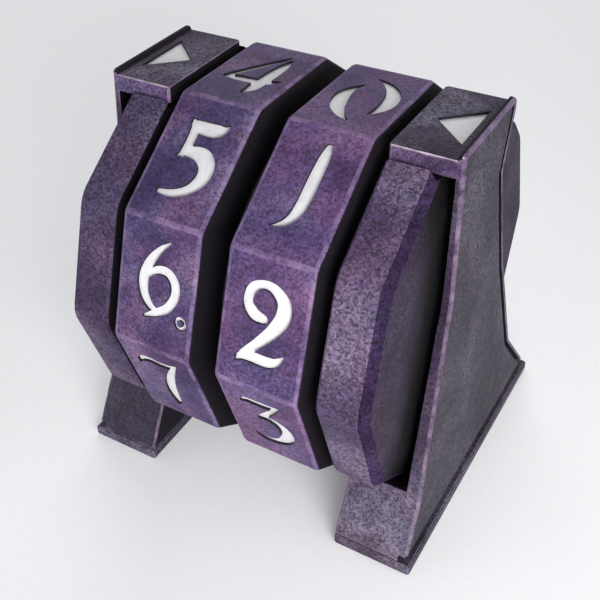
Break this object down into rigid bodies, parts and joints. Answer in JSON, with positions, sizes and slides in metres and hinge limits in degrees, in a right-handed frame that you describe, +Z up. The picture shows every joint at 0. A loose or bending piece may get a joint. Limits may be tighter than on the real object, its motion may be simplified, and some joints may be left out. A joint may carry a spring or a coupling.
{
  "type": "life counter",
  "caption": "Tabletop life counter with two ten-sided digit wheels that turn on an axle between fixed end caps in a waisted open stand.",
  "frame": {"origin": "on the table below the middle of the axle, which is the bottom centre of the bounding box", "axes": "+X along the axle to the units side, +Y to the back, away from the reader, +Z up"},
  "size_m": [0.0288, 0.03, 0.0311],
  "materials": {
    "frame_nylon": "sintered nylon, dyed grey purple, fine speckle",
    "cap_nylon": "sintered nylon, dyed dark purple, fine speckle",
    "wheel_nylon": "sintered nylon, dyed purple, lighter worn edges, digits cut in and filled white",
    "black_acetal": "machined black acetal",
    "bearing_bronze": "sintered bronze",
    "ground_steel": "ground",
    "black_steel": "black oxide",
    "nickel_plating": "nickel plated"
  },
  "bodies": {
    "stand": {"base_plate": "frame_nylon", "left_side_frame": "frame_nylon", "right_side_frame": "frame_nylon", "left_end_cap": "cap_nylon", "right_end_cap": "cap_nylon", "left_thrust_washer": "black_acetal", "right_thrust_washer": "black_acetal", "centre_spacer": "black_acetal", "axle": "ground_steel", "left_axle_screw": "black_steel", "right_axle_screw": "black_steel", "base_screw_left_front": "black_steel", "base_screw_left_back": "black_steel", "base_screw_right_front": "black_steel", "base_screw_right_back": "black_steel", "left_cap_magnet_1": "nickel_plating", "left_cap_magnet_2": "nickel_plating", "right_cap_magnet_1": "nickel_plating", "right_cap_magnet_2": "nickel_plating"},
    "tens_dial": {"tens_wheel": "wheel_nylon", "tens_inner_bush": "bearing_bronze", "tens_outer_bush": "bearing_bronze", "tens_wheel_magnet_1": "nickel_plating", "tens_wheel_magnet_2": "nickel_plating", "tens_wheel_magnet_3": "nickel_plating", "tens_wheel_magnet_4": "nickel_plating", "tens_wheel_magnet_5": "nickel_plating", "tens_wheel_magnet_6": "nickel_plating", "tens_wheel_magnet_7": "nickel_plating", "tens_wheel_magnet_8": "nickel_plating", "tens_wheel_magnet_9": "nickel_plating", "tens_wheel_magnet_10": "nickel_plating"},
    "units_dial": {"units_wheel": "wheel_nylon", "units_inner_bush": "bearing_bronze", "units_outer_bush": "bearing_bronze", "units_wheel_magnet_1": "nickel_plating", "units_wheel_magnet_2": "nickel_plating", "units_wheel_magnet_3": "nickel_plating", "units_wheel_magnet_4": "nickel_plating", "units_wheel_magnet_5": "nickel_plating", "units_wheel_magnet_6": "nickel_plating", "units_wheel_magnet_7": "nickel_plating", "units_wheel_magnet_8": "nickel_plating", "units_wheel_magnet_9": "nickel_plating", "units_wheel_magnet_10": "nickel_plating"}
  },
  "joints": [
    {"name": "tens_wheel_turn", "type": "hinge", "parent": "stand", "child": "tens_dial", "pos_m": [-0.0042, 0, 0.0165], "axis": [1, 0, 0], "continuous": true},
    {"name": "units_wheel_turn", "type": "hinge", "parent": "stand", "child": "units_dial", "pos_m": [0.0042, 0, 0.0165], "axis": [1, 0, 0], "continuous": true}
  ]
}
